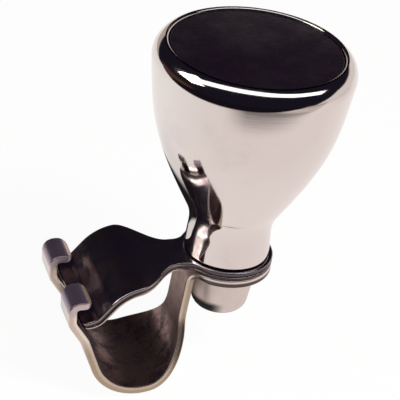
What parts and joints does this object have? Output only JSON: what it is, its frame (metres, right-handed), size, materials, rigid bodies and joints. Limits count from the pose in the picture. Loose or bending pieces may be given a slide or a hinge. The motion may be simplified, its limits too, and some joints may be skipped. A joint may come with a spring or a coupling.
{
  "type": "steering wheel spinner knob",
  "caption": "Goblet-shaped chrome knob with an inset black top, free to spin on a bolted sheet-metal clamp that hooks round a steering wheel's rim.",
  "frame": {"origin": "centre of the wheel rim's section, where the clamp closes round it, midway along the clamp's length", "axes": "+X from the rim to the knob's post, +Y along the rim, +Z parallel to the knob's spin axis, from the clamp to the knob's black top"},
  "size_m": [0.0653, 0.0468, 0.0854],
  "materials": {
    "chrome": "polished chrome plate",
    "bright_steel": "ground or bright-plated steel",
    "black_enamel": "glossy black",
    "bush_bronze": "plain machined bronze",
    "washer_fibre": "dark pressed fibre"
  },
  "bodies": {
    "clamp": {"saddle_plate": "chrome", "saddle_liner": "bright_steel", "rim_strap": "chrome", "base_washer": "washer_fibre", "bearing_cone": "bright_steel", "pivot_bolt": "bright_steel", "lock_washer": "bright_steel", "clamp_nut": "chrome"},
    "knob": {"knob_shell": "chrome", "top_disc": "black_enamel", "lower_bush": "bush_bronze", "bearing_cup": "bright_steel"},
    "ball_set": {"ball_01": "bright_steel", "ball_02": "bright_steel", "ball_03": "bright_steel", "ball_04": "bright_steel", "ball_05": "bright_steel", "ball_06": "bright_steel", "ball_07": "bright_steel", "ball_08": "bright_steel", "ball_09": "bright_steel", "ball_10": "bright_steel"}
  },
  "joints": [
    {"name": "knob_spin", "type": "hinge", "parent": "clamp", "child": "knob", "pos_m": [0.02287, 0, 0.0181], "axis": [0, 0, 1], "continuous": true},
    {"name": "ball_orbit", "type": "hinge", "parent": "clamp", "child": "ball_set", "pos_m": [0.02287, 0, 0.0181], "axis": [0, 0, 1], "continuous": true}
  ],
  "couplings": [
    {"joint": "ball_orbit", "follows": "knob_spin", "ratio": 0.5}
  ]
}
